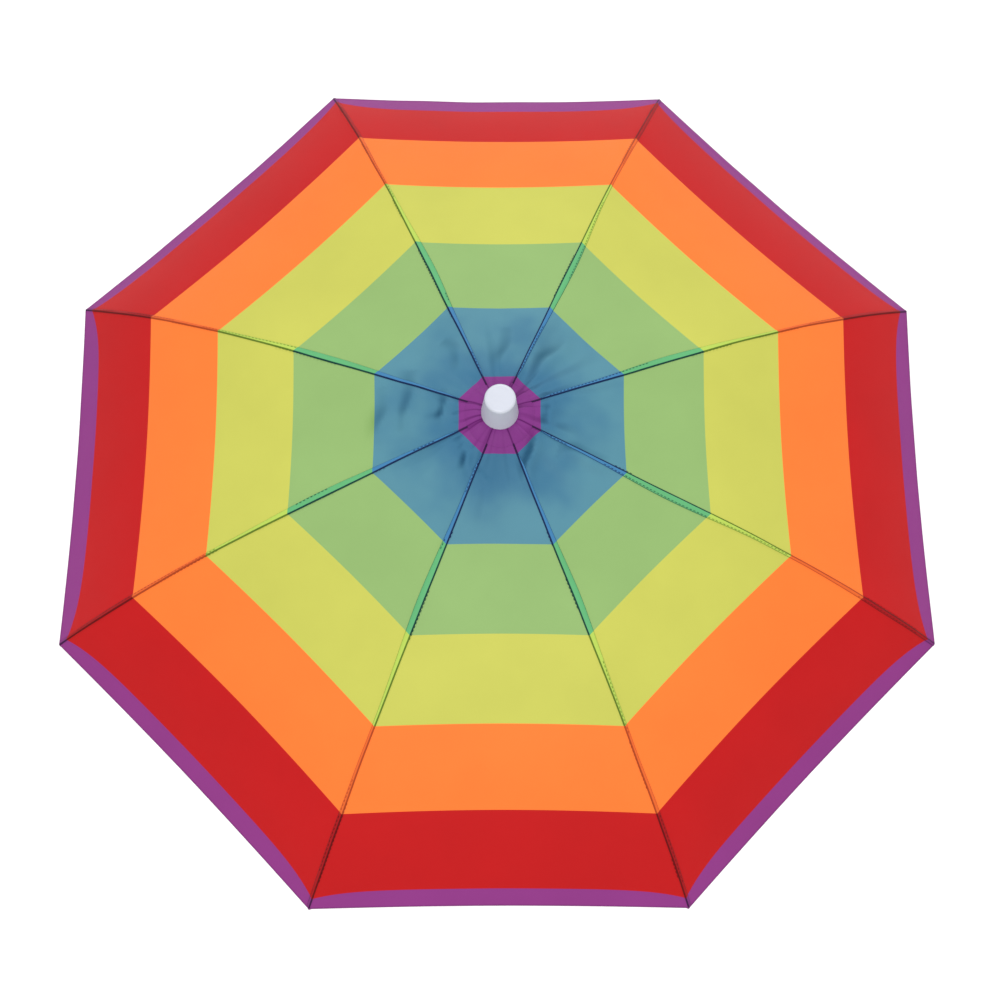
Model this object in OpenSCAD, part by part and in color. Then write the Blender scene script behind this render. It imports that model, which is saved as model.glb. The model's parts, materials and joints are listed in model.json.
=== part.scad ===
// Folding beach umbrella: a telescoping pole with a sand spike, a tilt joint, and
// eight hinged ribs under an eight-sided canopy.
// The origin is the centre of the lower pole's foot. +Z runs up the pole, in millimetres.
// The ribs stand 22.5 degrees off the X axis and every 45 degrees from there, and the
// canopy tilts towards +X about a pin along Y.

/* [Canopy] */
// Distance from the mast's axis to a corner of the canopy, along the ribs' centrelines
canopy_radius = 650; // [520:5:850]
// Slope of the straight inner stretch of each rib, below the horizontal
inner_slope = 14.5; // [10:0.5:20]
// Slope at the outer end of each rib
rim_slope = 37; // [28:0.5:45]
// Radius at which the ribs begin to bend
bend_radius = 292; // [285:1:400]
// Thickness of the cloth
cloth_thickness = 1.2; // [0.8:0.1:2]
// Gap between the ribs' top side and the cloth
cloth_gap = 2.2; // [2:0.1:4]
// How far the cloth sags below the straight line between two ribs, at the rim
cloth_sag = 4; // [0:0.5:10]
// How far the cloth bows in towards the mast between two ribs, at the rim
cloth_bow = 4; // [0:0.5:10]
// Radius of the round patch that covers the hub
rosette_radius = 44; // [40:1:60]
// Thickness of the round patch
rosette_thickness = 1; // [0.6:0.1:1.6]

/* [Pole] */
// Height of the rib hinges above the foot
crown_height = 1700; // [1650:5:2400]
// Height of the tilt joint's pin above the foot
tilt_height = 1000; // [980:5:1200]
// Outer diameter of the upper pole and the mast
mast_diameter = 19; // [16:0.5:24]
// Wall of every tube
tube_wall = 1; // [0.8:0.1:1.5]
// Gap between the lower pole's bore and the upper pole
slide_gap = 0.5; // [0.3:0.1:0.8]
// Length of the lower pole's tube
lower_pole_length = 720; // [560:5:800]
// Length of the upper pole inside the lower one
pole_overlap = 270; // [120:5:400]
// Length of the spike below the foot
spike_length = 70; // [50:5:150]
// Length of the spike's plug inside the lower pole
spike_plug = 30; // [15:1:60]

/* [Pole clamp] */
// Height of the clamp collar
collar_height = 50; // [40:1:80]
// Wall of the clamp collar around the lower pole
collar_wall = 6; // [4:0.5:9]
// Step down of the lower pole's end inside the collar
neck_step = 0.3; // [0.2:0.05:0.5]
// Diameter of the clamp screw's shank
screw_diameter = 6; // [5:0.5:8]
// Diameter of the knob
knob_diameter = 28; // [22:1:36]
// Thickness of the knob
knob_thickness = 13; // [10:1:18]
// Number of finger grooves round the knob
knob_grooves = 6; // [4:1:8]

/* [Tilt joint] */
// Outer diameter of the fork and the tongue's collar
tilt_diameter = 24; // [22:0.5:30]
// Thickness of the tongue
tongue_thickness = 8; // [6:0.5:10]
// Diameter of the tilt pin
tilt_pin_diameter = 6; // [5:0.5:8]
// Distance from the tilt pin to each collar
tilt_reach = 20; // [18:0.5:26]
// Height of the fork's and the tongue's collars
tilt_collar = 13; // [12:0.5:20]
// Length of the plugs inside the tubes
tilt_plug = 32; // [20:1:50]
// Diameter of the push button
button_diameter = 6; // [4:0.5:7]
// Travel of the push button
button_travel = 3; // [2:0.5:4]

/* [Ribs] */
// Diameter of a rib
rib_diameter = 4; // [3:0.25:5]
// How much thinner the bent outer rod is than the straight rod it plugs into
rib_step = 0.3; // [0.2:0.1:0.6]
// Distance along the rib from its hinge to the stretcher's hinge
stretcher_station = 270; // [200:1:272]
// Drop of the stretcher's hinge below the rib's centreline
clip_drop = 5.9; // [5.6:0.1:8]
// Length of the clip along the rib
clip_length = 12; // [8:0.5:14]
// Wall of the clip round the rib
clip_wall = 1; // [0.8:0.1:1.2]
// Diameter of the clip's rivet
rivet_diameter = 2.2; // [1.8:0.1:2.6]
// Diameter of a stretcher
stretcher_diameter = 3; // [2.5:0.25:3.5]
// Thickness of the flat ends of ribs and stretchers
eye_thickness = 2.4; // [2:0.1:2.8]
// Radius of the eye at each flat end
eye_radius = 2.3; // [2.1:0.1:2.6]
// Diameter of the wire ring in the crown and of the cross pins in the runner
wire_diameter = 1.8; // [1.4:0.1:2]
// Length of each stretcher's cross pin
cross_pin_length = 8; // [7:0.5:9]
// Length of the tip cap on each rib
tip_length = 13; // [8:0.5:20]
// Radius of the tip cap's round end
tip_radius = 3.4; // [3:0.1:4]

/* [Crown and runner] */
// Radius of the circle that the rib and stretcher hinges stand on
hinge_circle = 21; // [19:0.5:26]
// Material outside the hinge circle
hub_rim = 5; // [4.5:0.5:7]
// Thickness of the crown and of the runner's hub
hub_thickness = 10; // [9:0.5:14]
// Thickness of the crown's closed top
crown_top = 1.5; // [1:0.1:2.5]
// Length of the runner's sleeve below its hub
sleeve_length = 45; // [35:1:60]
// Outer radius of the runner's sleeve
sleeve_radius = 14; // [13.5:0.5:15]
// Outer radius of the ring at the sleeve's lower end
sleeve_ring_radius = 16.5; // [15:0.5:17]
// Width of the spring catch
catch_width = 3.6; // [3:0.2:4.4]
// How far the catch stands out of the mast
catch_reach = 3; // [2:0.5:3.5]
// Height of the catch's wedge
catch_height = 26; // [20:1:35]

/* [Cap] */
// Diameter of the cap at its base
cap_base_diameter = 48; // [40:1:60]
// Diameter of the cap at its top
cap_top_diameter = 40; // [32:1:48]
// Height of the cap
cap_height = 50; // [46:1:70]
// Wall of the cap
cap_wall = 2.2; // [1.6:0.1:3]
// Radius of the cap's rounded upper edge
cap_edge = 4; // [3:0.5:8]

/* [Hidden] */
$fn = 64;
rib_count = 8;
sector = 360 / rib_count;
half_sector = sector / 2;

// Clearances: pieces glued or pressed together, running pins, and free sliding
fixed_gap = 0.05;
pin_gap = 0.05;
free_gap = 0.3;
eye_side_gap = 0.4;
rod_side_gap = 0.5;

mast_radius = mast_diameter / 2;
mast_bore = mast_radius - tube_wall;
lower_bore = mast_radius + slide_gap;
lower_radius = lower_bore + tube_wall;
rib_radius = rib_diameter / 2;
hub_radius = hinge_circle + hub_rim;
flat_length = 8; // from a hub hinge to where the round rod begins

// Rib centreline: straight to bend_radius, then an arc that ends at rim_slope
straight_length = (bend_radius - hinge_circle) / cos(inner_slope);
arc_radius = (canopy_radius - bend_radius) / (sin(rim_slope) - sin(inner_slope));
function slope_at(r) =
    r <= bend_radius ? inner_slope : asin(sin(inner_slope) + (r - bend_radius) / arc_radius);
function rib_height(r) =
    crown_height - (min(r, bend_radius) - hinge_circle) * tan(inner_slope)
    - arc_radius * (cos(inner_slope) - cos(slope_at(r)));

// Stretcher: as long as its hinge is far from the crown's, so it mirrors the rib
stretcher_length = norm([stretcher_station, clip_drop]);
stretcher_slope = inner_slope + atan(clip_drop / stretcher_station);
runner_height = crown_height - 2 * stretcher_length * sin(stretcher_slope);

clip_joint_x = hinge_circle + stretcher_length * cos(stretcher_slope);
clip_joint_z = crown_height - stretcher_length * sin(stretcher_slope);
cheek_gap = eye_thickness + 2 * free_gap;
cheek_wall = 1.2;

// Cloth
cloth_lift = rib_radius + cloth_gap;
cloth_inner_radius = hub_radius + 4;
seam_half_gap = 0.2;
rings_along = 14;
steps_across = 4;

// Pole clamp
collar_top = lower_pole_length + collar_height / 2;
collar_radius = lower_radius + collar_wall;
knob_height = lower_pole_length + collar_height / 4;
boss_radius = screw_diameter / 2 + 5;
boss_end = collar_radius + 6;

// Tilt joint
cheek_radius = tilt_diameter / 2 - 2;
fork_base = tilt_height - tilt_reach - tilt_collar;
upper_pole_foot = lower_pole_length - pole_overlap;
button_height = fork_base + tilt_collar / 2;
tongue_top = tilt_height + tilt_reach + tilt_collar;

// Top of the mast: the rosette lies on the crown and the cap stands on the rosette
rosette_seat = crown_height + hub_thickness / 2 + free_gap;
cap_seat = rosette_seat + rosette_thickness + free_gap;
mast_top = cap_seat + cap_height - 16;

catch_top = runner_height - hub_thickness / 2 - sleeve_length - free_gap;

// ---------- helpers ----------

// Turns a shape drawn in the XZ plane to the azimuth of one rib
module at_rib(index) rotate([0, 0, half_sector + sector * (index - 1)]) children();

module tube(outer, inner, length)
    difference() {
        cylinder(r = outer, h = length);
        translate([0, 0, -1]) cylinder(r = inner, h = length + 2);
    }

// A cylinder along Y, centred on the XZ plane
module cross_cylinder(radius, width) rotate([90, 0, 0]) cylinder(r = radius, h = width, center = true);

// A round rod from [x, z] that runs down the given slope
module rod(from, slope, radius, start, end)
    translate([from[0], 0, from[1]]) rotate([0, 90 + slope, 0])
        translate([0, 0, start]) cylinder(r = radius, h = end - start);

// A flat end: an eye round the hinge and a strap that reaches the rod
module flat_end(from, slope, hole_radius)
    translate([from[0], 0, from[1]]) rotate([0, slope, 0])
        difference() {
            union() {
                cross_cylinder(eye_radius, eye_thickness);
                translate([0, -eye_thickness / 2, -eye_radius * 0.8])
                    cube([flat_length + 2, eye_thickness, eye_radius * 1.6]);
            }
            if (hole_radius > 0) cross_cylinder(hole_radius, eye_thickness + 2);
        }

// ---------- pole ----------

module lower_pole() color("white")
    difference() {
        union() {
            cylinder(r = lower_radius, h = collar_top - collar_height);
            cylinder(r = lower_radius - neck_step, h = lower_pole_length);
        }
        translate([0, 0, -1]) cylinder(r = lower_bore, h = lower_pole_length + 2);
    }

module sand_spike() color("white")
    union() {
        cylinder(r = lower_bore - fixed_gap, h = spike_plug);
        translate([0, 0, -spike_length * 0.6])
            cylinder(r1 = lower_radius * 0.64, r2 = lower_radius, h = spike_length * 0.6);
        translate([0, 0, -spike_length])
            cylinder(r1 = 1, r2 = lower_radius * 0.64, h = spike_length * 0.4);
    }

module clamp_collar() color("white")
    difference() {
        union() {
            translate([0, 0, collar_top - collar_height]) cylinder(r = collar_radius, h = collar_height);
            translate([0, 0, knob_height]) rotate([0, 90, 0]) cylinder(r = boss_radius, h = boss_end);
        }
        translate([0, 0, collar_top - collar_height - 1])
            cylinder(r = lower_radius + fixed_gap, h = collar_height / 2 + 1);
        cylinder(r = mast_radius + free_gap, h = collar_top + 1);
        translate([0, 0, knob_height]) rotate([0, 90, 0])
            cylinder(r = screw_diameter / 2 + free_gap, h = boss_end + 1);
    }

module clamp_knob() color("white")
    translate([0, 0, knob_height]) rotate([0, 90, 0]) {
        translate([0, 0, mast_radius + 0.4])
            cylinder(d = screw_diameter, h = boss_end - mast_radius + 1);
        translate([0, 0, boss_end + free_gap]) difference() {
            cylinder(d = knob_diameter, h = knob_thickness);
            for (i = [0:knob_grooves - 1]) rotate([0, 0, i * 360 / knob_grooves])
                translate([knob_diameter / 2 + 2, 0, -1]) cylinder(r = 4, h = knob_thickness + 2);
        }
    }

module upper_pole() color("white")
    translate([0, 0, upper_pole_foot])
        tube(mast_radius, mast_bore, fork_base - upper_pole_foot);

// ---------- tilt joint ----------

module tilt_fork() color("white")
    difference() {
        union() {
            translate([0, 0, fork_base - tilt_plug]) cylinder(r = mast_bore - fixed_gap, h = tilt_plug + 1);
            translate([0, 0, fork_base]) cylinder(d = tilt_diameter, h = tilt_collar);
            intersection() {
                translate([0, 0, fork_base + tilt_collar / 2])
                    cylinder(d = tilt_diameter, h = tilt_reach + tilt_collar);
                union() {
                    translate([-cheek_radius, -tilt_diameter / 2, fork_base + tilt_collar / 2])
                        cube([2 * cheek_radius, tilt_diameter, tilt_height - fork_base - tilt_collar / 2]);
                    translate([0, 0, tilt_height]) cross_cylinder(cheek_radius, tilt_diameter);
                }
            }
        }
        translate([-tilt_diameter, -tongue_thickness / 2 - free_gap, fork_base + tilt_collar + 2])
            cube([2 * tilt_diameter, tongue_thickness + 2 * free_gap, 2 * tilt_reach]);
        translate([0, 0, tilt_height])
            cross_cylinder(tilt_pin_diameter / 2 + fixed_gap, tilt_diameter + 2);
        translate([-tilt_diameter, 0, button_height]) rotate([0, 90, 0])
            cylinder(r = button_diameter / 2 + free_gap, h = tilt_diameter - button_travel);
    }

module tilt_pin() color("silver")
    translate([0, 0, tilt_height]) {
        cross_cylinder(tilt_pin_diameter / 2, tilt_diameter + 2);
        for (side = [-1, 1]) translate([0, side * (tilt_diameter / 2 + 0.85), 0])
            cross_cylinder(tilt_pin_diameter / 2 + 1.5, 1.6);
    }

module tilt_button() color("white")
    translate([-tilt_diameter / 2 - button_travel, 0, button_height]) rotate([0, 90, 0])
        cylinder(d = button_diameter, h = tilt_diameter / 2 - button_travel);

module tilt_tongue() color("white")
    difference() {
        union() {
            translate([0, 0, tongue_top - tilt_collar]) cylinder(d = tilt_diameter, h = tilt_collar);
            translate([0, 0, tongue_top - 1]) cylinder(r = mast_bore - fixed_gap, h = tilt_plug + 1);
            translate([0, 0, tilt_height]) cross_cylinder(cheek_radius - free_gap, tongue_thickness);
            translate([-cheek_radius + free_gap, -tongue_thickness / 2, tilt_height])
                cube([2 * (cheek_radius - free_gap), tongue_thickness, tilt_reach + 1]);
        }
        translate([0, 0, tilt_height])
            cross_cylinder(tilt_pin_diameter / 2 + pin_gap, tongue_thickness + 2);
    }

// ---------- mast, crown and cap ----------

module mast() color("white")
    difference() {
        translate([0, 0, tongue_top]) tube(mast_radius, mast_bore, mast_top - tongue_top);
        translate([0, -catch_width / 2 - free_gap, catch_top - catch_height - 4])
            cube([mast_diameter, catch_width + 2 * free_gap, catch_height + 8]);
    }

module crown() color("white")
    translate([0, 0, crown_height]) difference() {
        translate([0, 0, -hub_thickness / 2]) cylinder(r = hub_radius, h = hub_thickness);
        translate([0, 0, -hub_thickness]) cylinder(r = mast_radius + fixed_gap, h = 2 * hub_thickness);
        rotate_extrude() translate([hinge_circle, 0]) circle(d = wire_diameter + 2 * fixed_gap);
        for (i = [1:rib_count]) at_rib(i)
            translate([hinge_circle - eye_radius - free_gap, -eye_thickness / 2 - eye_side_gap, -hub_thickness])
                cube([hub_radius, eye_thickness + 2 * eye_side_gap, 1.5 * hub_thickness - crown_top]);
    }

module crown_wire() color("silver")
    translate([0, 0, crown_height])
        rotate_extrude() translate([hinge_circle, 0]) circle(d = wire_diameter);

// Flat over the crown, then down at the slope of the cloth, just clear of it
module rosette() color("purple")
    translate([0, 0, rosette_seat]) rotate_extrude() {
        flat_edge = hub_radius + 1;
        drop = (rosette_radius - flat_edge) * tan(inner_slope) + free_gap;
        polygon([[mast_radius + free_gap, 0], [flat_edge, 0], [rosette_radius, -drop],
                 [rosette_radius, rosette_thickness - drop], [flat_edge, rosette_thickness],
                 [mast_radius + free_gap, rosette_thickness]]);
    }

// Half outline of the cap's shell, with its upper edge rounded
module cap_outline(inset)
    intersection() {
        union() {
            polygon([[0, 0], [cap_base_diameter / 2 - inset, 0],
                     [cap_top_diameter / 2 - inset, cap_height - cap_edge], [0, cap_height - cap_edge]]);
            translate([0, cap_height - cap_edge - 0.01])
                square([cap_top_diameter / 2 - cap_edge, cap_edge - inset + 0.01]);
            translate([cap_top_diameter / 2 - cap_edge, cap_height - cap_edge]) circle(r = cap_edge - inset);
        }
        square([cap_base_diameter, cap_height]);
    }

module cap() color("white")
    translate([0, 0, cap_seat]) {
        rotate_extrude() difference() {
            cap_outline(0);
            difference() {
                cap_outline(cap_wall);
                translate([0, -1]) square([mast_radius + fixed_gap + cap_wall, cap_height + 2]);
            }
            translate([0, -1]) square([mast_radius + fixed_gap, mast_top - cap_seat + 1 + fixed_gap]);
        }
    }

// ---------- ribs, stretchers and runner ----------

module rib(index) color("silver")
    at_rib(index) {
        hinge = [hinge_circle, crown_height];
        union() {
            flat_end(hinge, inner_slope, wire_diameter / 2 + 0.2);
            rod(hinge, inner_slope, rib_radius, flat_length, straight_length + 1);
            translate([bend_radius - arc_radius * sin(inner_slope), 0,
                       rib_height(bend_radius) - arc_radius * cos(inner_slope)])
                rotate([90, 0, 0]) rotate([0, 0, 90 - rim_slope])
                    rotate_extrude(angle = rim_slope - inner_slope)
                        translate([arc_radius, 0]) circle(d = rib_diameter - rib_step);
        }
    }

// Clip: a sleeve on the rib with two cheeks, and the rivet that the stretcher turns on
module rib_clip(index) color("silver")
    at_rib(index) {
        outer = rib_radius + fixed_gap + clip_wall;
        cheek_height = clip_drop + eye_radius;
        translate([hinge_circle, 0, crown_height]) rotate([0, inner_slope, 0])
            translate([stretcher_station, 0, 0]) {
                difference() {
                    union() {
                        rotate([0, 90, 0]) cylinder(r = outer, h = clip_length, center = true);
                        for (side = [-1, 1]) translate([0, side * (cheek_gap + cheek_wall) / 2, 0]) {
                            translate([-eye_radius, -cheek_wall / 2, -clip_drop])
                                cube([2 * eye_radius, cheek_wall, clip_drop]);
                            translate([0, 0, -clip_drop]) cross_cylinder(eye_radius, cheek_wall);
                        }
                    }
                    rotate([0, 90, 0]) cylinder(r = rib_radius + fixed_gap, h = clip_length + 2, center = true);
                }
                translate([0, 0, -clip_drop]) {
                    cross_cylinder(rivet_diameter / 2, cheek_gap + 2 * cheek_wall + 0.4);
                    for (side = [-1, 1])
                        translate([0, side * (cheek_gap / 2 + cheek_wall + 0.3), 0])
                            cross_cylinder(rivet_diameter / 2 + 0.7, 0.6);
                }
            }
    }

module rib_tip(index) color("white")
    at_rib(index)
        translate([canopy_radius, 0, rib_height(canopy_radius)]) rotate([0, 90 + rim_slope, 0])
            difference() {
                union() {
                    translate([0, 0, -tip_length]) cylinder(r = rib_radius + 1, h = tip_length);
                    sphere(r = tip_radius);
                }
                translate([0, 0, -tip_length - 1]) cylinder(r = rib_radius + 0.1, h = tip_length + 1.1);
            }

// Stretcher: flat eye on the rib clip's rivet, flat end with a cross pin at the runner
module stretcher(index) color("silver")
    at_rib(index) {
        outer_end = [clip_joint_x, clip_joint_z];
        inner_end = [hinge_circle, runner_height];
        union() {
            flat_end(outer_end, 180 - stretcher_slope, rivet_diameter / 2 + pin_gap);
            flat_end(inner_end, -stretcher_slope, 0);
            rod(inner_end, -stretcher_slope, stretcher_diameter / 2, flat_length,
                stretcher_length - flat_length);
            translate([hinge_circle, 0, runner_height]) cross_cylinder(wire_diameter / 2, cross_pin_length);
        }
    }

module runner() color("white")
    translate([0, 0, runner_height]) difference() {
        union() {
            translate([0, 0, -hub_thickness / 2]) cylinder(r = hub_radius, h = hub_thickness);
            translate([0, 0, -hub_thickness / 2 - sleeve_length])
                cylinder(r = sleeve_radius, h = sleeve_length + 1);
            translate([0, 0, -hub_thickness / 2 - sleeve_length])
                cylinder(r = sleeve_ring_radius, h = 6);
        }
        translate([0, 0, -hub_thickness / 2 - sleeve_length - 1])
            cylinder(r = mast_radius + free_gap, h = sleeve_length + 2 * hub_thickness);
        for (i = [1:rib_count]) at_rib(i) {
            // slot for the stretcher's flat end, and the keyway its cross pin drops out of
            translate([sleeve_radius + 1.5, -stretcher_diameter / 2 - rod_side_gap, -hub_thickness])
                cube([hub_radius, stretcher_diameter + 2 * rod_side_gap, 2 * hub_thickness]);
            translate([hinge_circle - wire_diameter / 2 - eye_side_gap,
                       -cross_pin_length / 2 - free_gap, -hub_thickness])
                cube([wire_diameter + 2 * eye_side_gap, cross_pin_length + 2 * free_gap,
                      hub_thickness + wire_diameter / 2 + eye_side_gap]);
        }
    }

// Spring catch: a bent leaf whose wedge stands out of the mast under the runner
module catch() color("silver")
    rotate([90, 0, 0]) linear_extrude(height = catch_width, center = true)
        polygon([[3, catch_top], [mast_radius + catch_reach, catch_top],
                 [mast_radius - 1.3, catch_top - catch_height], [4.2, catch_top - catch_height],
                 [4.2, catch_top - 3 * catch_height], [3, catch_top - 3 * catch_height]]);

// ---------- canopy ----------

// A point of the cloth: at radius r along its rib, a share (0 to 1) of the way to the
// middle between two ribs, on one side, and a height above the rib's centreline
function cloth_point(r, share, side, lift) =
    let (reach = r + lift * sin(slope_at(r)),
         full = reach * sin(half_sector),
         across = min(share * full, full - seam_half_gap),
         fall = share * (2 - share) * reach / canopy_radius,
         bow = cloth_bow * fall)
    [reach - across * sin(half_sector) - bow * cos(half_sector),
     side * (across * cos(half_sector) - bow * sin(half_sector) * share),
     rib_height(r) + lift * cos(slope_at(r)) - cloth_sag * fall];

// The cloth's grid of points: the underside's rows first, then the top's
columns = 2 * steps_across + 1;
rows = rings_along + 1;
function at(top, row, column) = (top * rows + row) * columns + column;
function quad(a, b, c, d) = [[a, b, c], [a, c, d]];

// One sector of the canopy: the cloth that rides on one rib, as a thin closed shell
module panel(index) color(index % 2 == 0 ? "royalblue" : "seagreen")
    at_rib(index) {
        points = [for (lift = [cloth_lift, cloth_lift + cloth_thickness])
            for (row = [0:rings_along]) for (step = [-steps_across:steps_across])
                cloth_point(cloth_inner_radius + (canopy_radius - cloth_inner_radius) * row / rings_along,
                            abs(step) / steps_across, sign(step), lift)];
        skins = [for (row = [0:rings_along - 1]) for (column = [0:columns - 2])
            for (top = [0, 1])
                let (a = at(top, row, column), b = at(top, row, column + 1),
                     c = at(top, row + 1, column + 1), d = at(top, row + 1, column))
                each top == 1 ? quad(a, b, c, d) : quad(a, d, c, b)];
        sides = [for (row = [0:rings_along - 1]) for (column = [0, columns - 1])
            let (a = at(0, row, column), b = at(0, row + 1, column),
                 c = at(1, row + 1, column), d = at(1, row, column))
            each column == 0 ? quad(a, d, c, b) : quad(a, b, c, d)];
        ends = [for (column = [0:columns - 2]) for (row = [0, rings_along])
            let (a = at(0, row, column), b = at(0, row, column + 1),
                 c = at(1, row, column + 1), d = at(1, row, column))
            each row == 0 ? quad(a, b, c, d) : quad(a, d, c, b)];
        polyhedron(points = points, faces = concat(skins, sides, ends));
    }

// ---------- nodes ----------

lower_pole();
sand_spike();
clamp_collar();
clamp_knob();
upper_pole();
tilt_fork();
tilt_pin();
tilt_button();
tilt_tongue();
mast();
crown();
crown_wire();
rosette();
cap();
runner();
catch();
for (i = [1:rib_count]) {
    rib(i);
    rib_clip(i);
    rib_tip(i);
    stretcher(i);
    panel(i);
}
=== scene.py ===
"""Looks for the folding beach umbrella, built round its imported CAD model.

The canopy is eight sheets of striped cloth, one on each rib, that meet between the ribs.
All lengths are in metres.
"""

import json
import math

import bmesh
import bpy
from mathutils import Matrix, Vector, noise


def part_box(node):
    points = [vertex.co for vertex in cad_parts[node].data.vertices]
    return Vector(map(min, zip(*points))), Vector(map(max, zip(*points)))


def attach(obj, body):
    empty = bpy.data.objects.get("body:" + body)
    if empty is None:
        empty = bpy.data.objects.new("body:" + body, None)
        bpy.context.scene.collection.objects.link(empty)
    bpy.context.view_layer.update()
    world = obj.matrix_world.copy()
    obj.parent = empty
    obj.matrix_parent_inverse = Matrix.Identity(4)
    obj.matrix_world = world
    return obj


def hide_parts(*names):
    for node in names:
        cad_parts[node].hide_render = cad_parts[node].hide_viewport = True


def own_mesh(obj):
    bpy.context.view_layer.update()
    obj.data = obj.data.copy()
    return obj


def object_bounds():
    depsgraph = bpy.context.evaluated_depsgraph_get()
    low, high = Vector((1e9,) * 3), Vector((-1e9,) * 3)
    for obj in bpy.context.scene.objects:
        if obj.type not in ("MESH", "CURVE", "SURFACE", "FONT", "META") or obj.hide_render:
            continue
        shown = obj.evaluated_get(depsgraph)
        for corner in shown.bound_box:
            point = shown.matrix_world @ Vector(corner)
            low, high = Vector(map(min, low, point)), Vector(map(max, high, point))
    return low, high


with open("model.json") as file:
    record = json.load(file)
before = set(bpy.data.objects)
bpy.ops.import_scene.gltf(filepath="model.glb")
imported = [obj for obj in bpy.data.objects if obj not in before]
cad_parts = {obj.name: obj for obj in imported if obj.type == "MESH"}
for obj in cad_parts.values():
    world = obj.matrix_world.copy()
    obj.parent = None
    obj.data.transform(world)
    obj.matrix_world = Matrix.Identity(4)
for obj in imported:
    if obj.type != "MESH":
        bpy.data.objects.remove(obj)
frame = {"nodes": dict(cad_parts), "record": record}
CAD_BOX = [list(corner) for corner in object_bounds()]

# ---------- the canopy's shape, as the CAD model has it ----------
RIBS = 8
HALF_SECTOR = math.pi / RIBS
CANOPY_RADIUS = 0.650
BEND_RADIUS = 0.292
HINGE_CIRCLE = 0.021
INNER_SLOPE = math.radians(14.5)
RIM_SLOPE = math.radians(37)
CROWN_HEIGHT = sum(corner[2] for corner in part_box("crown_wire")) / 2
ARC_RADIUS = (CANOPY_RADIUS - BEND_RADIUS) / (math.sin(RIM_SLOPE) - math.sin(INNER_SLOPE))

CLOTH_LIFT = 0.0050        # height of the cloth over the ribs' centrelines
CLOTH_SAG = 0.004          # fall of the cloth between two ribs, at the rim
CLOTH_BOW = 0.004          # bow of the rim towards the mast between two ribs
INNER_EDGE = 0.030         # where the cloth begins, just outside the crown
HELD_SHARE = 0.25          # how much of a crease is left where the cloth is held to its rib

# Stripes, measured along a rib: the purple centre, five equal stripes, and the hem
CENTRE_LENGTH = 0.058
STRIPE_LENGTH = 0.1245
STRIPE_BOW = 0.0035        # how far a stripe's edge bows towards the mast, at the rim
HEM_CORNER = 0.0123        # width of the hem at a corner
HEM_FULLNESS = 7           # how soon the hem widens, going away from a corner
HEM_BOW_SHARE = 0.3        # how much of a stripe's bow the hem's edge follows
# Width of the hem at the middle of each side, from the side that faces +X round by +Y
HEM_WIDTHS = (0.026, 0.021, 0.032, 0.022, 0.030, 0.024, 0.021, 0.024)

# Drag wrinkles near the cap: from (x, y), to (x, y), height and half width
WRINKLES = [
    ((0.046, -0.026), (0.037, -0.084), 0.0060, 0.0085),
    ((-0.049, -0.038), (-0.036, -0.082), 0.0046, 0.0065),
    ((-0.034, -0.074), (-0.014, -0.088), 0.0024, 0.0045),
    ((-0.070, 0.030), (-0.072, -0.012), 0.0036, 0.0070),
    ((-0.113, 0.056), (-0.118, -0.016), 0.0046, 0.0120),
    ((-0.148, 0.036), (-0.152, -0.030), 0.0036, 0.0130),
    ((0.063, 0.024), (0.066, -0.020), 0.0038, 0.0080),
    ((0.048, 0.058), (0.090, 0.112), 0.0042, 0.0120),
    ((0.006, 0.062), (0.016, 0.118), 0.0032, 0.0120),
    ((-0.036, 0.058), (-0.066, 0.104), 0.0036, 0.0100),
    ((0.086, -0.046), (0.140, -0.060), 0.0036, 0.0110),
]

# Creases round the cap, and the slight unevenness further out
PLEAT_HEIGHT = 0.0030      # pleats of the purple centre
PLEAT_END = 0.066          # radius at which they are gone
PLEAT_FADE = 0.024         # length over which they go
DRAG_HEIGHT = 0.0032       # broad creases, strongest at CREASE_RADIUS
FINE_HEIGHT = 0.0014       # narrow creases among them
CREASE_RADIUS = 0.10
CREASE_SPREAD = 0.085
RIPPLE_HEIGHT = 0.0012     # slow waves in the cloth, growing towards the rim
RIM_DRAG_HEIGHT = 0.0014   # pull of the hem, from RIM_DRAG_START outwards
RIM_DRAG_START = 0.45
RIM_DRAG_LENGTH = 0.20

# Shading painted into the creases
TO_LIGHT = (0.6, -0.8)     # side that the creases are lit from
SHADE_STEP = 0.001         # distance over which a crease's rise is taken
SHADE_START = 0.02         # rise at which it begins to darken
SHADE_GAIN = 1.9
DEEPEST_SHADE = 0.8

STRIPES = ("purple", "blue", "green", "yellow", "orange", "red", "purple_hem")
STRIPE_COLOURS = {         # linear red, green, blue
    "purple": (0.175, 0.028, 0.180),
    "blue": (0.073, 0.205, 0.264),
    "green": (0.222, 0.358, 0.122),
    "yellow": (0.445, 0.450, 0.080),
    "orange": (0.800, 0.165, 0.028),
    "red": (0.428, 0.006, 0.007),
    "purple_hem": (0.225, 0.032, 0.190),
}
SEAM_COLOURS = {           # two layers of cloth let less light through
    "purple": (0.120, 0.020, 0.135),
    "blue": (0.042, 0.165, 0.330),
    "green": (0.095, 0.345, 0.140),
    "yellow": (0.370, 0.500, 0.080),
    "orange": (0.640, 0.110, 0.022),
    "red": (0.300, 0.005, 0.007),
    "purple_hem": (0.170, 0.024, 0.150),
}
LINE_COLOURS = {           # the fold where the seam turns under, in its own shadow
    "purple": (0.030, 0.004, 0.045),
    "blue": (0.003, 0.014, 0.060),
    "green": (0.004, 0.040, 0.030),
    "yellow": (0.090, 0.150, 0.014),
    "orange": (0.330, 0.045, 0.010),
    "red": (0.110, 0.001, 0.002),
    "purple_hem": (0.040, 0.005, 0.046),
}
PAINTED_SHADE_NEAR_MAST = {"blue": (0.036, 0.132, 0.225)}   # painted shade: darker colour of a stripe towards its inner edge, by the mast
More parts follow.
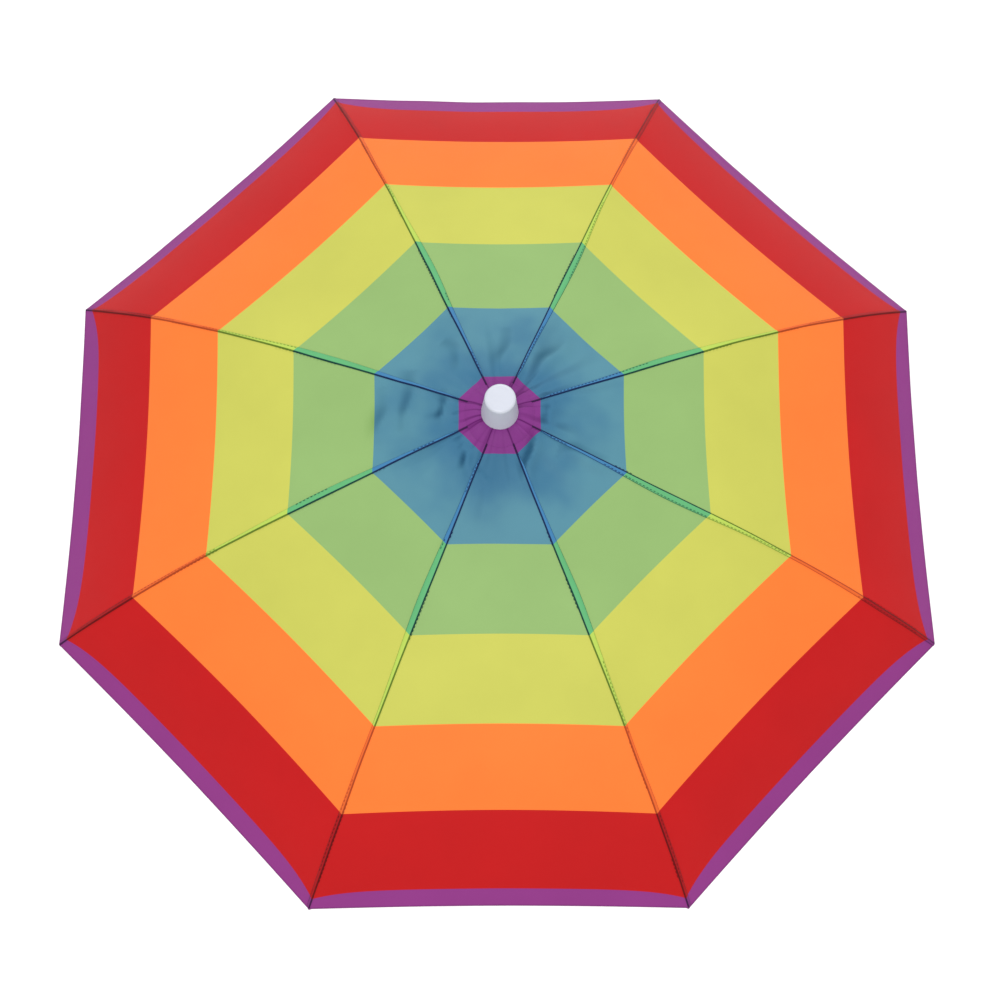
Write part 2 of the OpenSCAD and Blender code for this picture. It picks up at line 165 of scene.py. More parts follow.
SEAM_SIDES = (1, -1, -1, -1, -1, -1, 1, -1)   # the side of each rib its seam lies on


def slope_at(r):
    """Slope of the rib at radius r."""
    if r <= BEND_RADIUS:
        return INNER_SLOPE
    return math.asin(min(1.0, math.sin(INNER_SLOPE) + (r - BEND_RADIUS) / ARC_RADIUS))


def rib_height(r):
    """Height of the rib's centreline at radius r."""
    straight = (min(r, BEND_RADIUS) - HINGE_CIRCLE) * math.tan(INNER_SLOPE)
    curved = ARC_RADIUS * (math.cos(INNER_SLOPE) - math.cos(slope_at(r)))
    return CROWN_HEIGHT - straight - curved


def radius_at(length):
    """Radius at a distance along the rib, measured from the mast's axis."""
    straight = BEND_RADIUS / math.cos(INNER_SLOPE)
    if length <= straight:
        return length * math.cos(INNER_SLOPE)
    slope = INNER_SLOPE + (length - straight) / ARC_RADIUS
    return BEND_RADIUS + ARC_RADIUS * (math.sin(slope) - math.sin(INNER_SLOPE))


def rib_azimuth(index):
    return HALF_SECTOR + 2 * HALF_SECTOR * (index - 1)


def round_noise(azimuth, spread, depth):
    """Smooth noise from -1 to 1 that goes round the mast and meets itself."""
    return noise.noise(Vector((spread * math.cos(azimuth), spread * math.sin(azimuth), depth)))


def gathers(azimuth):
    """Height of the uneven pleats that the purple cloth is gathered into, from 0 to about 1:
    sharp ridges wherever a slow noise round the mast crosses zero."""
    height = 0.0
    for spread, depth in ((1.0, 7.7), (1.8, 2.9)):
        height += 0.5 * max(0.0, 1 - 3.2 * abs(round_noise(azimuth, spread, depth))) ** 2
    return height


def wrinkle_height(x, y):
    """Height of the drag wrinkles at a place on the canopy."""
    height = 0.0
    for (x0, y0), (x1, y1), tall, wide in WRINKLES:
        dx, dy = x1 - x0, y1 - y0
        length = math.hypot(dx, dy)
        along = ((x - x0) * dx + (y - y0) * dy) / length ** 2
        if -0.2 < along < 1.2:
            off = ((x - x0) * dy - (y - y0) * dx) / length + 0.3 * wide * math.sin(6 * along)
            height += tall * math.exp(-(off / wide) ** 2) * math.sin(math.pi * (along + 0.2) / 1.4)
    return height


def pucker(x, y, r):
    """Height of the creases round the cap: pleats in the purple cloth that fade outwards,
    and a few soft wrinkles further out. It depends on the place alone, so it runs on from
    one sheet into the next."""
    azimuth = math.atan2(y, x)
    fade = min(1.0, max(0.0, (PLEAT_END - r) / PLEAT_FADE))
    pleats = PLEAT_HEIGHT * gathers(azimuth) * fade
    drag = round_noise(azimuth, 2.8, 4.7 + 8 * r)
    fine = round_noise(azimuth, 6.5, 9.1 + 13 * r)
    reach = math.exp(-((r - CREASE_RADIUS) / CREASE_SPREAD) ** 2)
    ripple = noise.noise(Vector((x * 6, y * 6, 2.3)))
    soft = reach * (DRAG_HEIGHT * drag + FINE_HEIGHT * fine)
    soft += RIPPLE_HEIGHT * ripple * (r / CANOPY_RADIUS)
    near_rim = max(0.0, (r - RIM_DRAG_START) / RIM_DRAG_LENGTH)
    rim_drag = round_noise(azimuth, 8, 6.6 + 5 * r) * near_rim
    return pleats + soft + wrinkle_height(x, y) + RIM_DRAG_HEIGHT * rim_drag


def fold_shade(x, y, r):
    """How far the cloth darkens, from 0 to 1, where its creases face away from the light."""
    ahead = (x + SHADE_STEP * TO_LIGHT[0], y + SHADE_STEP * TO_LIGHT[1])
    rise = pucker(*ahead, r) - pucker(x, y, r)
    return min(DEEPEST_SHADE, SHADE_GAIN * max(0.0, rise / SHADE_STEP - SHADE_START))


def cloth_point(r, across, index, lift=CLOTH_LIFT):
    """A point of the cloth on one rib's sheet: at radius r along the rib, and across from
    -1 to 1, where 0 is the rib and both ends are halfway to the next rib."""
    share = abs(across)
    reach = r + lift * math.sin(slope_at(r))
    fall = share * (2 - share) * reach / CANOPY_RADIUS
    bow = CLOTH_BOW * fall
    width = share * reach * math.sin(HALF_SECTOR)
    x = reach - width * math.sin(HALF_SECTOR) - bow * math.cos(HALF_SECTOR)
    y = math.copysign(width * math.cos(HALF_SECTOR) - bow * math.sin(HALF_SECTOR) * share, across)
    z = rib_height(r) + lift * math.cos(slope_at(r)) - CLOTH_SAG * fall
    turn = rib_azimuth(index)
    place = Vector((x * math.cos(turn) - y * math.sin(turn),
                    x * math.sin(turn) + y * math.cos(turn), z))
    # the cloth is held down along its rib, so creases fade there
    place.z += pucker(place.x, place.y, r) * min(1.0, HELD_SHARE + 3 * share)
    return place


def cloth_height(r, azimuth):
    """Height of the cloth near the cap, straight above a place at radius r from the mast."""
    from_rib = abs((azimuth % (2 * HALF_SECTOR)) - HALF_SECTOR)
    at_rib = r * math.cos(HALF_SECTOR - from_rib) / math.cos(HALF_SECTOR)
    creases = pucker(r * math.cos(azimuth), r * math.sin(azimuth), at_rib)
    return rib_height(at_rib) + CLOTH_LIFT * math.cos(INNER_SLOPE) + creases


ROWS_PER_STRIPE = (8, 30, 14, 10, 10, 10, 4)   # finest where the creases are


def stripe_rows():
    """The stripes' edges, and the rows of the cloth's mesh as (radius at the rib, stripe)."""
    edges = [INNER_EDGE, radius_at(CENTRE_LENGTH)]
    edges += [radius_at(CENTRE_LENGTH + STRIPE_LENGTH * (i + 1)) for i in range(4)]
    edges += [CANOPY_RADIUS - HEM_CORNER, CANOPY_RADIUS]
    rows = []
    for stripe, (inner, outer, count) in enumerate(zip(edges, edges[1:], ROWS_PER_STRIPE)):
        for step in range(count):
            rows.append((inner + (outer - inner) * step / count, stripe))
    rows.append((CANOPY_RADIUS, len(ROWS_PER_STRIPE) - 1))
    return edges, rows


def row_radius(r, across, index, edges):
    """Radius of a row away from the rib: rows bow towards the mast, and the hem widens."""
    share = abs(across)
    side = index if across > 0 else index - 1
    widest = (HEM_WIDTHS[side % RIBS] - HEM_CORNER) * (1 - (1 - share) ** HEM_FULLNESS)
    swell = share * (2 - share)
    bow = STRIPE_BOW * (r / CANOPY_RADIUS) ** 2 * swell
    hem_edge = edges[-2]
    if r >= hem_edge:
        into_hem = (r - hem_edge) / (CANOPY_RADIUS - hem_edge)
        return r - (1 - into_hem) * widest - (1 - into_hem) * bow * HEM_BOW_SHARE
    red_edge = edges[-3]
    if r > red_edge:
        into_red = (r - red_edge) / (hem_edge - red_edge)
        return r - (1 - into_red) * bow - into_red * (widest + HEM_BOW_SHARE * bow)
    return r - bow


# ---------- materials ----------

def new_material(name):
    """A material with its Principled shader, its node tree and a helper that adds nodes."""
    material = bpy.data.materials.new(name)
    material.use_nodes = True
    tree = material.node_tree
    shader = tree.nodes["Principled BSDF"]

    def add(kind, **values):
        node = tree.nodes.new(kind)
        for key, value in values.items():
            if key in node.inputs:
                node.inputs[key].default_value = value
            else:
                setattr(node, key, value)
        return node
    return material, tree, shader, add


def shade_variation(tree, add, colour, source, amount, scale, detail=3.0):
    """A colour that drifts a little lighter and darker over the surface."""
    drift = add("ShaderNodeTexNoise", Scale=scale, Detail=detail, Roughness=0.55)
    tree.links.new(source, drift.inputs["Vector"])
    ramp = add("ShaderNodeValToRGB")
    ramp.color_ramp.elements[0].position = 0.30
    ramp.color_ramp.elements[1].position = 0.70
    for element, factor in zip(ramp.color_ramp.elements, (1 - amount, 1 + amount)):
        element.color = (*[min(1.0, c * factor) for c in colour], 1)
    tree.links.new(drift.outputs["Fac"], ramp.inputs["Fac"])
    return ramp.outputs["Color"]


def shade_near_mast(tree, add, colour, place, shade_tint):
    """Painted shade: turns a cloth to a darker colour towards the mast, unevenly, as where it lies
    in the shade of its folds.
    """
    unevenness, shade_full_until, shade_gone_from = -0.16, -0.03, 0.09
    level = add("ShaderNodeVectorMath", operation="MULTIPLY")
    level.inputs[1].default_value = (1, 1, 0)
    tree.links.new(place, level.inputs[0])
    radius = add("ShaderNodeVectorMath", operation="LENGTH")
    tree.links.new(level.outputs["Vector"], radius.inputs[0])
    patches = add("ShaderNodeTexNoise", Scale=16.0, Detail=2.0)
    tree.links.new(place, patches.inputs["Vector"])
    reach = add("ShaderNodeMath", operation="MULTIPLY_ADD")
    reach.inputs[1].default_value = unevenness
    tree.links.new(patches.outputs["Fac"], reach.inputs[0])
    tree.links.new(radius.outputs["Value"], reach.inputs[2])
    ramp = add("ShaderNodeMapRange")
    ramp.interpolation_type = "SMOOTHSTEP"
    ramp.inputs["From Min"].default_value = shade_full_until
    ramp.inputs["From Max"].default_value = shade_gone_from
    tree.links.new(reach.outputs[0], ramp.inputs["Value"])
    shaded = add("ShaderNodeMixRGB", Color1=(*shade_tint, 1))
    tree.links.new(ramp.outputs["Result"], shaded.inputs["Fac"])
    tree.links.new(colour, shaded.inputs["Color2"])
    return shaded.outputs["Color"]


def shade_folds(tree, add, colour, deep):
    """Deepens the cloth's colour by its mesh's own "folds" values, where creases shade
    themselves; deep is what a fully shaded fold multiplies the colour by."""
    folds = add("ShaderNodeAttribute", attribute_name="folds")
    shaded = add("ShaderNodeMixRGB", blend_type="MULTIPLY", Color2=(*deep, 1))
    tree.links.new(folds.outputs["Fac"], shaded.inputs["Fac"])
    tree.links.new(colour, shaded.inputs["Color1"])
    return shaded.outputs["Color"]


def cloth_material(name, colour, near_mast=None):
    """Thin woven polyester: a plain weave in the cloth's own directions, slubs in the yarn,
    and a soft sheen."""
    material, tree, shader, add = new_material(name)
    shader.inputs["Roughness"].default_value = 0.50
    shader.inputs["Specular IOR Level"].default_value = 0.10
    shader.inputs["Sheen Weight"].default_value = 0.03
    shader.inputs["Sheen Roughness"].default_value = 0.45
    uv = add("ShaderNodeUVMap", uv_map="cloth")
    place = add("ShaderNodeTexCoord").outputs["Object"]
    base = shade_variation(tree, add, colour, place, 0.03, 9.0)
    if near_mast is not None:
        # painted shade, darker towards the mast
        base = shade_near_mast(tree, add, base, place, near_mast)
    deep = [0.45 * c / max(colour) for c in colour]
    base = shade_folds(tree, add, base, deep)
    yarns = []
    for direction in ("X", "Y"):
        wave = add("ShaderNodeTexWave", wave_type="BANDS", bands_direction=direction,
                   Scale=480.0, Distortion=0.6, Detail=1.0)
        tree.links.new(uv.outputs["UV"], wave.inputs["Vector"])
        yarns.append(wave.outputs["Fac"])
    weave = add("ShaderNodeMath", operation="MULTIPLY")
    for i, yarn in enumerate(yarns):
        tree.links.new(yarn, weave.inputs[i])
    thread_tint = add("ShaderNodeMixRGB", blend_type="MULTIPLY", Fac=0.18)
    thread_ramp = add("ShaderNodeValToRGB")
    thread_ramp.color_ramp.elements[0].color = (0.72, 0.72, 0.72, 1)
    tree.links.new(weave.outputs[0], thread_ramp.inputs["Fac"])
    tree.links.new(base, thread_tint.inputs["Color1"])
    tree.links.new(thread_ramp.outputs["Color"], thread_tint.inputs["Color2"])
    tree.links.new(thread_tint.outputs["Color"], shader.inputs["Base Color"])
    slubs = add("ShaderNodeTexNoise", Scale=160.0, Detail=3.0)
    tree.links.new(uv.outputs["UV"], slubs.inputs["Vector"])
    relief = add("ShaderNodeMath", operation="MULTIPLY_ADD")
    relief.inputs[1].default_value = 0.5
    tree.links.new(slubs.outputs["Fac"], relief.inputs[0])
    tree.links.new(weave.outputs[0], relief.inputs[2])
    bump = add("ShaderNodeBump", Strength=0.25, Distance=0.00025)
    tree.links.new(relief.outputs[0], bump.inputs["Height"])
    tree.links.new(bump.outputs["Normal"], shader.inputs["Normal"])
    return material


def moulded_material(name, colour, roughness):
    """Injection-moulded plastic: a fine grain, and faint clouding in the roughness."""
    material, tree, shader, add = new_material(name)
    place = add("ShaderNodeTexCoord").outputs["Object"]
    base = shade_variation(tree, add, colour, place, 0.02, 40.0)
    tree.links.new(base, shader.inputs["Base Color"])
    cloud = add("ShaderNodeTexNoise", Scale=70.0, Detail=2.0)
    tree.links.new(place, cloud.inputs["Vector"])
    spread = add("ShaderNodeMapRange")
    spread.inputs["To Min"].default_value = roughness - 0.06
    spread.inputs["To Max"].default_value = roughness + 0.06
    tree.links.new(cloud.outputs["Fac"], spread.inputs["Value"])
    tree.links.new(spread.outputs["Result"], shader.inputs["Roughness"])
    pores = add("ShaderNodeTexNoise", Scale=900.0, Detail=1.0)
    tree.links.new(place, pores.inputs["Vector"])
    bump = add("ShaderNodeBump", Strength=0.2, Distance=0.00006)
    tree.links.new(pores.outputs["Fac"], bump.inputs["Height"])
    tree.links.new(bump.outputs["Normal"], shader.inputs["Normal"])
    shader.inputs["Subsurface Weight"].default_value = 0.06
    shader.inputs["Subsurface Radius"].default_value = (0.004, 0.004, 0.004)
    return material


def painted_material(name, colour):
    """Powder-coated steel tube: glossy, with a slight orange peel and scuffs."""
    material, tree, shader, add = new_material(name)
    place = add("ShaderNodeTexCoord").outputs["Object"]
    base = shade_variation(tree, add, colour, place, 0.03, 25.0)
    tree.links.new(base, shader.inputs["Base Color"])
    scuffs = add("ShaderNodeTexNoise", Scale=45.0, Detail=6.0, Roughness=0.7)
    tree.links.new(place, scuffs.inputs["Vector"])
    spread = add("ShaderNodeMapRange")
    spread.inputs["To Min"].default_value = 0.22
    spread.inputs["To Max"].default_value = 0.42
    tree.links.new(scuffs.outputs["Fac"], spread.inputs["Value"])
    tree.links.new(spread.outputs["Result"], shader.inputs["Roughness"])
    shader.inputs["Coat Weight"].default_value = 0.25
    peel = add("ShaderNodeTexNoise", Scale=380.0, Detail=1.0)
    tree.links.new(place, peel.inputs["Vector"])
    bump = add("ShaderNodeBump", Strength=0.12, Distance=0.0001)
    tree.links.new(peel.outputs["Fac"], bump.inputs["Height"])
    tree.links.new(bump.outputs["Normal"], shader.inputs["Normal"])
    return material


def plated_material(name, colour):
    """Zinc-plated steel wire and strip: metallic, with drawn lines and a dull bloom."""
    material, tree, shader, add = new_material(name)
    place = add("ShaderNodeTexCoord").outputs["Object"]
    base = shade_variation(tree, add, colour, place, 0.12, 60.0, 5.0)
    tree.links.new(base, shader.inputs["Base Color"])
    shader.inputs["Metallic"].default_value = 1.0
    bloom = add("ShaderNodeTexNoise", Scale=110.0, Detail=4.0)
    tree.links.new(place, bloom.inputs["Vector"])
    spread = add("ShaderNodeMapRange")
    spread.inputs["To Min"].default_value = 0.28
    spread.inputs["To Max"].default_value = 0.50
    tree.links.new(bloom.outputs["Fac"], spread.inputs["Value"])
    tree.links.new(spread.outputs["Result"], shader.inputs["Roughness"])
    bump = add("ShaderNodeBump", Strength=0.15, Distance=0.00008)
    tree.links.new(bloom.outputs["Fac"], bump.inputs["Height"])
    tree.links.new(bump.outputs["Normal"], shader.inputs["Normal"])
    return material


CLOTHS = {name: cloth_material(f"cloth_{name}", colour, near_mast=PAINTED_SHADE_NEAR_MAST.get(name))
          for name, colour in STRIPE_COLOURS.items()}
SEAM_CLOTHS = {name: cloth_material(f"seam_{name}", colour)
               for name, colour in SEAM_COLOURS.items()}
LINE_CLOTHS = {name: cloth_material(f"line_{name}", colour)
               for name, colour in LINE_COLOURS.items()}
CAP_PLASTIC = moulded_material("cap_plastic", (0.46, 0.48, 0.54), 0.36)
WHITE_PLASTIC = moulded_material("white_plastic", (0.54, 0.54, 0.53), 0.42)
PAINTED_STEEL = painted_material("painted_steel", (0.50, 0.51, 0.52))
PLATED_STEEL = plated_material("plated_steel", (0.62, 0.63, 0.65))

SLOT_MATERIALS = {
    "painted_steel": PAINTED_STEEL,
    "white_plastic": WHITE_PLASTIC,
    "cap_plastic": CAP_PLASTIC,
    "plated_steel": PLATED_STEEL,
    "purple_cloth": CLOTHS["purple"],
    "striped_cloth": CLOTHS["green"],   # the sheets that replace it have a cloth for each stripe
}


def finish_cad_nodes():
    """Gives each CAD node the material of its slot."""
    for part in frame["record"]["subparts"]:
        node = frame["nodes"][part["node"]]
        material = SLOT_MATERIALS[part["material_slot"]]
        for slot in node.material_slots:
            slot.material = material


# ---------- pieces ----------

def new_piece(name, points, faces, uvs, materials, face_materials=None, folds=None):
    """An object from points and faces, with smooth shading, a cloth map with one pair of
    metres for each point, a material for each face, and how far painted shade darkens each
    point in its folds."""
    mesh = bpy.data.meshes.new(name)
    mesh.from_pydata([tuple(p) for p in points], [], faces)
    for material in materials:
        mesh.materials.append(material)
    mesh.polygons.foreach_set("use_smooth", [True] * len(mesh.polygons))
    if face_materials is not None:
        mesh.polygons.foreach_set("material_index", face_materials)
    layer = mesh.uv_layers.new(name="cloth")
    for loop in mesh.loops:
        layer.data[loop.index].uv = uvs[loop.vertex_index]
    if folds is not None:
        # painted shade of the creases, read by the cloth materials
        mesh.attributes.new("folds", "FLOAT", "POINT").data.foreach_set("value", folds)
    mesh.validate()
    piece = bpy.data.objects.new(name, mesh)
    bpy.context.scene.collection.objects.link(piece)
    return piece


def grid_faces(rows, columns, closed=False):
    """Quads of a grid of points stored row by row; closed joins the last column to the first."""
    faces = []
    for row in range(rows - 1):
        for column in range(columns if closed else columns - 1):
            following = (column + 1) % columns
            a, b = row * columns + column, row * columns + following
            faces.append((a, b, b + columns, a + columns))
    return faces


def fold_with_rib(piece, index):
    """The piece moves with its rib, and gets a mesh of its own."""
    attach(piece, f"rib_{index}")
    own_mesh(piece)


def gore_sheet(index):
    """The striped cloth on one rib, out to the middle of the gore on both sides."""
    edges, rows = stripe_rows()
    half = 22                   # columns on each side of the rib, closer together near it
    shares = [math.copysign((abs(i) / half) ** 1.15, i) for i in range(-half, half + 1)]
    points, uvs, folds = [], [], []
    for r, _ in rows:
        for across in shares:
            radius = row_radius(r, across, index, edges)
            place = cloth_point(radius, across, index)
            points.append(place)
            uvs.append((radius, across * radius * math.sin(HALF_SECTOR)))
            folds.append(fold_shade(place.x, place.y, radius))
    faces = grid_faces(len(rows), len(shares))
    per_row = len(shares) - 1
    stripes = [rows[i // per_row][1] for i in range(len(faces))]
    return new_piece(f"canopy_gore_{index}", points, [face[::-1] for face in faces], uvs,
                     [CLOTHS[name] for name in STRIPES], stripes, folds)


def swept_tube(name, centres, radius, material, sides=8):
    """A round tube along a row of points, closed at both ends."""
    points, faces, uvs = [], [], []
    length = 0.0
    for i, centre in enumerate(centres):
        ahead = centres[min(i + 1, len(centres) - 1)] - centres[max(i - 1, 0)]
        ahead.normalize()
        side = ahead.cross(Vector((0, 0, 1))).normalized()
        up = side.cross(ahead)
        for k in range(sides):
            angle = 2 * math.pi * k / sides
            points.append(centre + radius * (math.cos(angle) * side + math.sin(angle) * up))
            uvs.append((length, radius * angle))
        if i + 1 < len(centres):
            length += (centres[i + 1] - centre).length
    faces = grid_faces(len(centres), sides, closed=True)
    faces.append(tuple(range(sides))[::-1])
    faces.append(tuple((len(centres) - 1) * sides + k for k in range(sides)))
    return new_piece(name, points, faces, uvs, [material])


def rolled_hem(index):
    """The rolled edge of the hem along the rim of one sheet."""
    steps, radius, drop = 44, 0.0012, 0.0007
    centres = [cloth_point(CANOPY_RADIUS, -1 + 2 * i / steps, index, lift=CLOTH_LIFT - drop)
               for i in range(steps + 1)]
    return swept_tube(f"hem_roll_{index}", centres, radius, SEAM_CLOTHS["purple_hem"])


def seam_width(r):
    """Width of the seam allowance that lies to one side of a rib: widest on the green, and
    hardly wider than its fold where it reaches the purple centre."""
    least, swell = 0.0028, 0.10
    shown = min(1.0, max(0.35, (r - 0.044) / 0.030))
    on_green = 0.0056 * math.exp(-((r - 0.25) / swell) ** 2)
    on_red = 0.0020 * math.exp(-((r - 0.56) / swell) ** 2)
    return shown * (least + on_green + on_red)


def share_of_sector(across, r):
    """A distance from the rib as a share of the way to the middle of the gore."""
    return across / (r * math.sin(HALF_SECTOR) * math.cos(HALF_SECTOR))


def seam_profile(width, wobble):
    """(distance from the rib, height over the cloth, is it the shaded fold) across a seam.
    The flag belongs to the face from that point to the next."""
    return [(-0.0014, -0.0004, True), (-0.0010, 0.0008, True), (0.0007, 0.0013 + wobble, False),
            (0.5 * width, 0.0009 + wobble, False), (width - 0.0004, 0.0010, True),
            (width, 0.0004, False), (width + 0.0003, -0.0004, False)]


def seam_strip(index):
    """The felled seam on one rib: two layers of cloth in a low ridge beside the stitching."""
    edges, rows = stripe_rows()
    start = edges[1] - 0.014    # a little inside the purple centre's edge
    rows = [row for row in rows if row[0] >= start]
    side = SEAM_SIDES[index - 1]
    points, uvs = [], []
    for r, _ in rows:
        wobble = 0.0006 * noise.noise(Vector((r * 60, index * 3.1, 0)))
        drift = 0.0008 * noise.noise(Vector((r * 14, index * 5.7, 3)))
        profile = seam_profile(seam_width(r), wobble)
        for across, height, _ in profile:
            share = share_of_sector(side * (across + drift), r)
            bowed = row_radius(r, share, index, edges)
            points.append(cloth_point(bowed, share, index, lift=CLOTH_LIFT + height))
            uvs.append((r, across))
    faces = grid_faces(len(rows), len(profile))
    per_row = len(profile) - 1
    shaded = [flag for _, _, flag in profile[:-1]]
    stripes = [rows[i // per_row][1] + (len(STRIPES) if shaded[i % per_row] else 0)
               for i in range(len(faces))]
    if side > 0:
        faces = [face[::-1] for face in faces]
    materials = [cloths[name] for cloths in (SEAM_CLOTHS, LINE_CLOTHS) for name in STRIPES]
    return new_piece(f"seam_{index}", points, faces, uvs, materials, stripes)


def stitching(index):
    """Stitches along the fold of the seam, and a second row that shows here and there."""
    side = SEAM_SIDES[index - 1]
    edges = stripe_rows()[0]
    points, faces, stripes, uvs = [], [], [], []
    pitch, length, half_width = 0.0052, 0.0028, 0.00035
    lift = CLOTH_LIFT + 0.0014
    start, end = radius_at(CENTRE_LENGTH), CANOPY_RADIUS - 0.03
    fold_start = 0.16           # the row along the fold is hidden nearer the mast
    for row in range(2):
        hidden_below = -0.02 if row else 0.12
        for i in range(int((end - start) / pitch)):
            r = start + i * pitch + 0.0026 * row
            if row == 0 and r < fold_start:
                continue
            if noise.noise(Vector((r * 11, index * 2.9, row * 7.3))) < hidden_below:
                continue
            across = seam_width(r) - 0.0016 if row else -0.0017
            first = len(points)
            for dr, dy in ((0, -half_width), (length, -half_width),
                           (length, half_width), (0, half_width)):
                share = share_of_sector(side * (across + dy), r)
                points.append(cloth_point(r + dr, share, index, lift=lift))
                uvs.append((r + dr, across + dy))
            quad = (first, first + 1, first + 2, first + 3)
            faces.append(quad[::-1] if side > 0 else quad)
            stripes.append(sum(r > edge for edge in edges[1:-1]))
    return new_piece(f"stitches_{index}", points, faces, uvs,
                     [LINE_CLOTHS[name] for name in STRIPES], stripes)


def corner_pocket(index):
    """The purple pocket sewn under a corner of the canopy, which holds the rib's tip."""
    turn = rib_azimuth(index)
    rings, sides = 9, 16
    length, depth_inside = 0.0325, 0.028
    half_width, half_height, end_size = 0.0062, 0.0048, 0.0003
    rounding_from = 0.62        # share of the length at which the end begins to round off
    under_cloth = 0.0009
    points, uvs = [], []
    for i in range(rings):
        along = i / (rings - 1)
        r = CANOPY_RADIUS - depth_inside + length * along
        on_rib = min(r, CANOPY_RADIUS)
        slope = slope_at(on_rib)
        past_rim = max(0.0, r - CANOPY_RADIUS)
        middle = rib_height(on_rib) - past_rim * math.tan(RIM_SLOPE) + 0.0006
        rounding = max(0.0, (along - rounding_from) / 0.38)
        fullness = math.sqrt(max(0.0, 1 - rounding ** 2))
        wide, tall = half_width * fullness + end_size, half_height * fullness + end_size
        for k in range(sides):
            angle = 2 * math.pi * k / sides
            across, up = wide * math.cos(angle), tall * math.sin(angle)
            x, z = r + up * math.sin(slope), middle + up * math.cos(slope)
            over = min(CANOPY_RADIUS, x + abs(across) * math.tan(HALF_SECTOR) - 0.003)
            z = min(z, rib_height(over) + CLOTH_LIFT * math.cos(slope) - under_cloth)
            points.append(Vector((x * math.cos(turn) - across * math.sin(turn),
                                  x * math.sin(turn) + across * math.cos(turn), z)))
            uvs.append((r, wide * angle))
    faces = grid_faces(rings, sides, closed=True)
    faces.append(tuple((rings - 1) * sides + k for k in range(sides)))
    return new_piece(f"tip_pocket_{index}", points, faces, uvs, [CLOTHS["purple_hem"]])


def rosette_patch():
    """The round purple patch under the cap, gathered into uneven pleats that run on into
    the cloth below it."""
    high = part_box("rosette")[1]
    rings, around = 20, 360
    inner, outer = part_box("mast")[1][0] + 0.0004, high[0] + 0.001
    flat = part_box("cap")[1][0] + 0.002      # radius up to which the cap presses it flat
    pleat_height, pleat_start = 0.0022, 0.006
    above_solid, above_cloth = 0.0002, 0.0004
    line_width = 0.0010                     # painted shade: the shadowed folds of the seams between the gores, as dark lines
    points, uvs, folds = [], [], []
    for i in range(rings):
        r = inner + (outer - inner) * i / (rings - 1)
        blend = min(1.0, max(0.0, (r - flat) / (outer - flat)))
        for k in range(around):
            azimuth = 2 * math.pi * k / around
            rise = min(1.0, max(0.0, (r - flat) / pleat_start))
            seat = high[2] + above_solid + pleat_height * gathers(azimuth) * rise
            z = (1 - blend) * seat + blend * (cloth_height(r, azimuth) + above_cloth)
            x, y = r * math.cos(azimuth), r * math.sin(azimuth)
            points.append(Vector((x, y, z)))
            uvs.append((x, y))
            # painted shade along the seams, joined with the painted shade of the creases
            from_seam = azimuth % (2 * HALF_SECTOR) - HALF_SECTOR
            line = math.exp(-(r * from_seam / line_width) ** 2)
            folds.append(max(line, fold_shade(x, y, r)))
    return new_piece("rosette_patch", points, grid_faces(rings, around, closed=True), uvs,
                     [CLOTHS["purple"]], folds=folds)


def build_canopy():
    """All the cloth: eight sheets with their hems, seams, stitches and pockets, and the
    patch."""
    for index in range(1, RIBS + 1):
        sheet, hem = gore_sheet(index), rolled_hem(index)
        seam, stitches, pocket = seam_strip(index), stitching(index), corner_pocket(index)
        for piece in (sheet, hem):
            fold_with_rib(piece, index)
        for piece in (seam, stitches, pocket):
            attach(piece, f"rib_{index}")
        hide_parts(f"panel_{index}")
    patch = rosette_patch()
    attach(patch, "mast")
    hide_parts("rosette")


# ---------- studio ----------

def build_floor():
    """A plain white floor that the foot of the spike stands on."""
    mesh = bpy.data.meshes.new("floor")
    shape = bmesh.new()
    bmesh.ops.create_circle(shape, cap_ends=True, segments=64, radius=9)
    shape.to_mesh(mesh)
    shape.free()
    floor = bpy.data.objects.new("floor", mesh)
    floor.location.z = CAD_BOX[0][2]
    bpy.context.scene.collection.objects.link(floor)
    material, _, shader, _ = new_material("floor")
    shader.inputs["Base Color"].default_value = (0.93, 0.93, 0.93, 1)
    shader.inputs["Roughness"].default_value = 0.9
    mesh.materials.append(material)


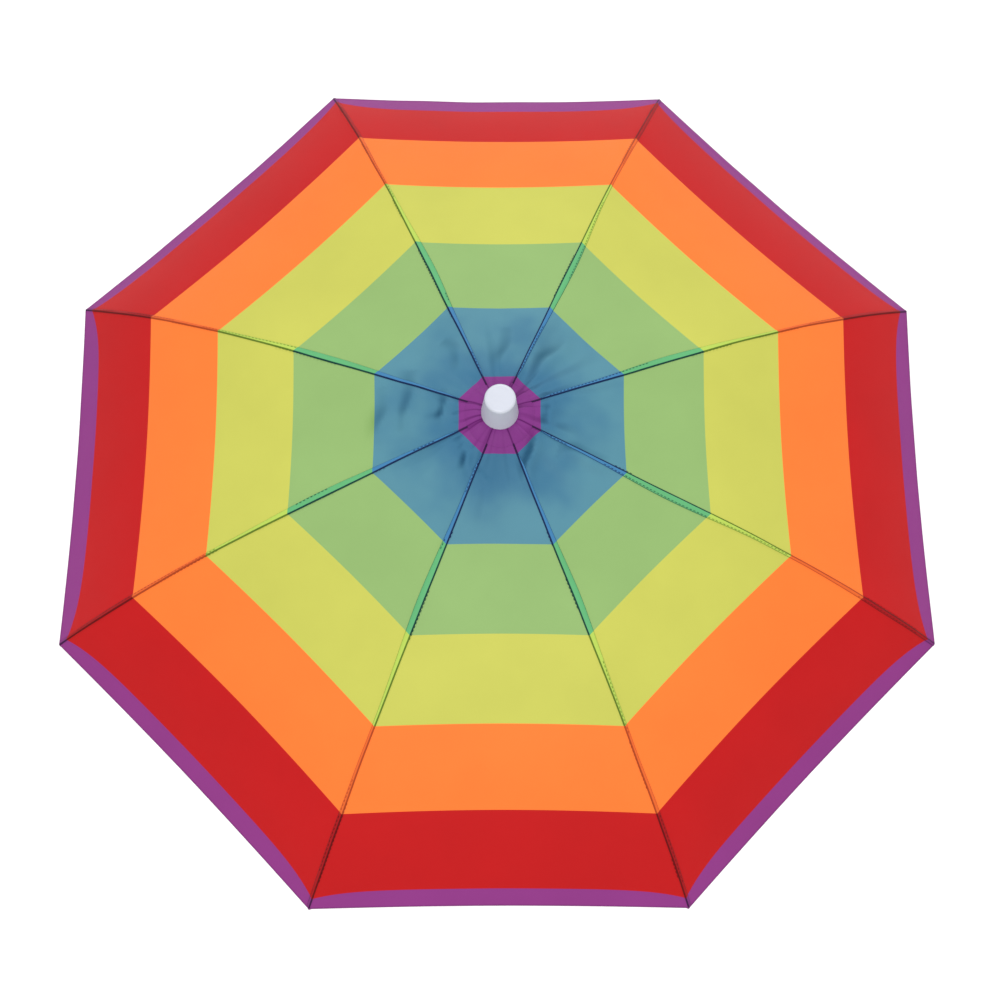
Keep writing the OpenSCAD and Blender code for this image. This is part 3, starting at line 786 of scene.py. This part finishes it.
def add_softbox(name, place, target, size, power):
    light = bpy.data.lights.new(name, "AREA")
    light.shape = "DISK"
    light.size = size
    light.energy = power
    lamp = bpy.data.objects.new(name, light)
    lamp.location = place
    lamp.rotation_euler = (Vector(target) - Vector(place)).to_track_quat("-Z", "Y").to_euler()
    bpy.context.scene.collection.objects.link(lamp)


def light_studio():
    """Even white light all round, and two large softboxes, in front and behind."""
    world = bpy.data.worlds.new("studio")
    bpy.context.scene.world = world
    world.use_nodes = True
    background = world.node_tree.nodes["Background"]
    background.inputs["Color"].default_value = (1, 1, 1, 1)
    background.inputs["Strength"].default_value = 0.95
    bpy.context.scene.view_settings.view_transform = "Standard"
    canopy = (0, 0, CROWN_HEIGHT - 0.1)
    add_softbox("front", (-0.2, -1.5, 4.7), canopy, size=2.0, power=60)
    add_softbox("back", (0.3, 3.4, 4.4), canopy, size=2.0, power=70)


def aim_camera():
    """Looks down on the canopy from the side between two ribs, a little turned."""
    tilt = math.radians(17.34)      # away from straight down
    roll = math.radians(2.18)
    heading = math.radians(-2.27)   # round the mast
    distance = 3.537 * CANOPY_RADIUS
    rim = rib_height(CANOPY_RADIUS) + CLOTH_LIFT * math.cos(RIM_SLOPE)
    right, up = Vector((1, 0, 0)), Vector((0, math.cos(tilt), math.sin(tilt)))
    back = Vector((0, -math.sin(tilt), math.cos(tilt)))
    target = Vector((0.0071 * CANOPY_RADIUS, -0.0638 * CANOPY_RADIUS, rim))
    turned_right = math.cos(roll) * right + math.sin(roll) * up
    turned_up = -math.sin(roll) * right + math.cos(roll) * up
    axes = Matrix((turned_right, turned_up, back)).transposed().to_4x4()
    camera = bpy.data.objects.new("camera", bpy.data.cameras.new("camera"))
    camera.data.lens = 58.4
    camera.data.sensor_width = 36
    camera.matrix_world = (Matrix.Rotation(heading, 4, "Z")
                           @ Matrix.Translation(target + distance * back) @ axes)
    bpy.context.scene.collection.objects.link(camera)
    bpy.context.scene.camera = camera


finish_cad_nodes()
build_canopy()
build_floor()
light_studio()
aim_camera()
